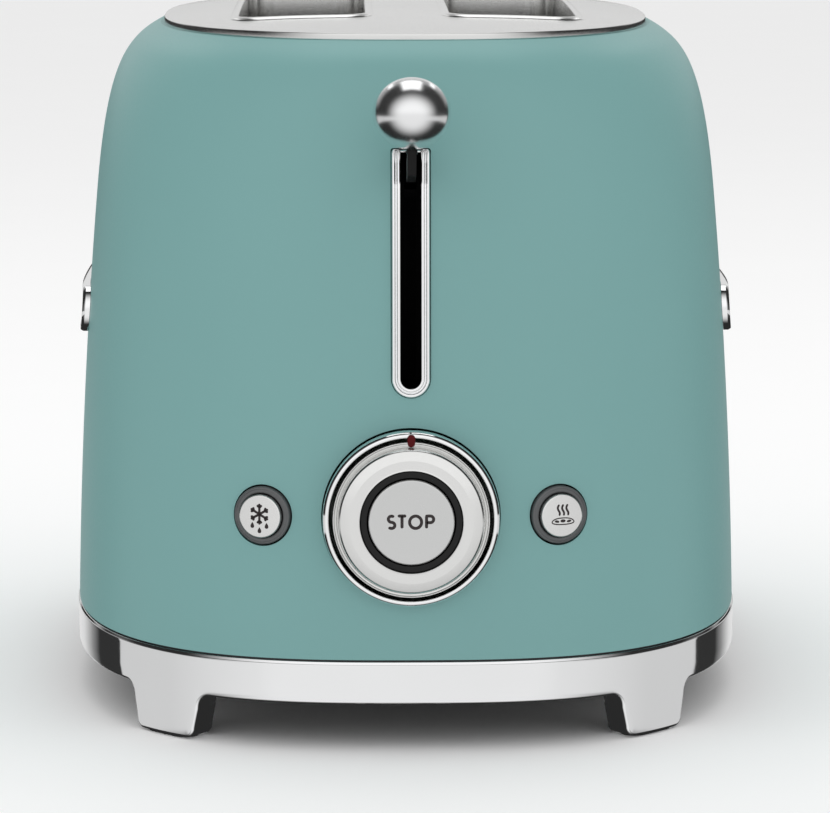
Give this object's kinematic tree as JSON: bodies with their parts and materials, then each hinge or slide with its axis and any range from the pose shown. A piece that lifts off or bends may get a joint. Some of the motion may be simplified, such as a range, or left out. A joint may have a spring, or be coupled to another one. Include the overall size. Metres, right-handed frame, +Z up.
{
  "type": "two-slice pop-up toaster",
  "caption": "Retro pop-up toaster with a rounded painted body, chrome base band and legs, end lever with ball, browning knob and side buttons.",
  "frame": {"origin": "on the supporting surface, under the middle of the body's plan", "axes": "+Z up, X across the body, Y along it with the lever end at -Y"},
  "size_m": [0.195, 0.3104, 0.198],
  "materials": {
    "teal_paint": "matte enamel",
    "plate_steel": "satin chrome with a polished rim",
    "band_chrome": "polished",
    "trim_chrome": "polished",
    "knob_satin": "satin",
    "button_grey": "fine matte",
    "red_mark": "gloss",
    "black_plastic": "fine spark texture",
    "pad_rubber": "matte",
    "tray_steel": "bright rolled sheet",
    "chassis_steel": "galvanised sheet",
    "bright_wire": "plated wire",
    "mica": "flaky mica sheet",
    "heater_ribbon": "oxidised ribbon",
    "arm_black": "black lacquer",
    "board_green": "solder mask",
    "part_black": "moulded",
    "cream_plastic": "moulded",
    "brass_post": "turned",
    "copper_wire": "enamelled copper winding",
    "lead_sleeve": "glass-braid sleeve",
    "screw_zinc": "zinc plated"
  },
  "bodies": {
    "casing": {"body_shell": "teal_paint", "top_plate": "plate_steel", "base_band": "band_chrome", "foot_pads": "pad_rubber", "base_plate": "black_plastic", "badge_left": "trim_chrome", "badge_right": "trim_chrome", "slot_frame": "trim_chrome", "slot_shield": "black_plastic", "knob_bezel": "trim_chrome", "stop_sleeve": "black_plastic", "stop_switch": "part_black", "encoder_body": "part_black", "defrost_ring": "button_grey", "reheat_ring": "button_grey", "side_switches": "part_black", "control_board": "board_green", "board_parts": "part_black", "board_standoffs": "brass_post", "guide_rods": "bright_wire", "carriage_spring": "bright_wire", "magnet_coil": "copper_wire", "magnet_core": "chassis_steel", "front_bulkhead": "chassis_steel", "rear_bulkhead": "chassis_steel", "reflector_left": "chassis_steel", "reflector_right": "chassis_steel", "heater_card_outer_left": "mica", "heater_card_inner_left": "mica", "heater_card_inner_right": "mica", "heater_card_outer_right": "mica", "heater_wires": "heater_ribbon", "terminal_block": "cream_plastic", "inner_lead": "lead_sleeve", "cord_gland": "black_plastic", "chassis_screws": "screw_zinc", "plate_screws": "screw_zinc", "stop_spring": "bright_wire", "defrost_spring": "bright_wire", "reheat_spring": "bright_wire"},
    "carriage": {"lever_ball": "trim_chrome", "lever_arm": "arm_black", "carriage_plate": "chassis_steel", "carriage_bushes": "cream_plastic", "bread_rack_left": "bright_wire", "bread_rack_right": "bright_wire", "armature_plate": "chassis_steel"},
    "knob": {"browning_knob": "knob_satin", "knob_pointer": "red_mark", "encoder_rotor": "cream_plastic"},
    "stop": {"stop_button": "knob_satin"},
    "defrost": {"defrost_button": "knob_satin"},
    "reheat": {"reheat_button": "knob_satin"},
    "tray": {"crumb_tray": "tray_steel"},
    "grille_outer_left": {"guide_grille_outer_left": "bright_wire"},
    "grille_inner_left": {"guide_grille_inner_left": "bright_wire"},
    "grille_inner_right": {"guide_grille_inner_right": "bright_wire"},
    "grille_outer_right": {"guide_grille_outer_right": "bright_wire"}
  },
  "joints": [
    {"name": "lever_slide", "type": "slide", "parent": "casing", "child": "carriage", "axis": [0, 0, -1], "range_m": [0, 0.0555], "stiffness_N_per_m": 70, "springref_m": -0.06, "deforming": ["carriage_spring"]},
    {"name": "knob_turn", "type": "hinge", "parent": "casing", "child": "knob", "pos_m": [0, -0.1415, 0.0645], "axis": [0, -1, 0], "range_deg": [-135, 135]},
    {"name": "stop_press", "type": "slide", "parent": "casing", "child": "stop", "axis": [0, 1, 0], "range_m": [0, 0.002], "stiffness_N_per_m": 500, "springref_m": -0.002, "deforming": ["stop_spring"]},
    {"name": "defrost_press", "type": "slide", "parent": "casing", "child": "defrost", "axis": [0.3188, 0.9478, 0], "range_m": [0, 0.0018], "stiffness_N_per_m": 400, "springref_m": -0.002, "deforming": ["defrost_spring"]},
    {"name": "reheat_press", "type": "slide", "parent": "casing", "child": "reheat", "axis": [-0.3188, 0.9478, 0], "range_m": [0, 0.0018], "stiffness_N_per_m": 400, "springref_m": -0.002, "deforming": ["reheat_spring"]},
    {"name": "tray_slide", "type": "slide", "parent": "casing", "child": "tray", "axis": [0, 1, 0], "range_m": [0, 0.2]},
    {"name": "grille_turn_outer_left", "type": "hinge", "parent": "casing", "child": "grille_outer_left", "pos_m": [-0.0469, 0, 0.056], "axis": [0, 1, 0], "range_deg": [0, 4.6]},
    {"name": "grille_turn_inner_left", "type": "hinge", "parent": "casing", "child": "grille_inner_left", "pos_m": [-0.0131, 0, 0.056], "axis": [0, 1, 0], "range_deg": [-4.6, 0]},
    {"name": "grille_turn_inner_right", "type": "hinge", "parent": "casing", "child": "grille_inner_right", "pos_m": [0.0131, 0, 0.056], "axis": [0, 1, 0], "range_deg": [0, 4.6]},
    {"name": "grille_turn_outer_right", "type": "hinge", "parent": "casing", "child": "grille_outer_right", "pos_m": [0.0469, 0, 0.056], "axis": [0, 1, 0], "range_deg": [-4.6, 0]}
  ],
  "couplings": [
    {"joint": "grille_turn_outer_left", "follows": "lever_slide", "rad_per_m": 1.4151},
    {"joint": "grille_turn_inner_left", "follows": "lever_slide", "rad_per_m": -1.4151},
    {"joint": "grille_turn_inner_right", "follows": "lever_slide", "rad_per_m": 1.4151},
    {"joint": "grille_turn_outer_right", "follows": "lever_slide", "rad_per_m": -1.4151}
  ]
}
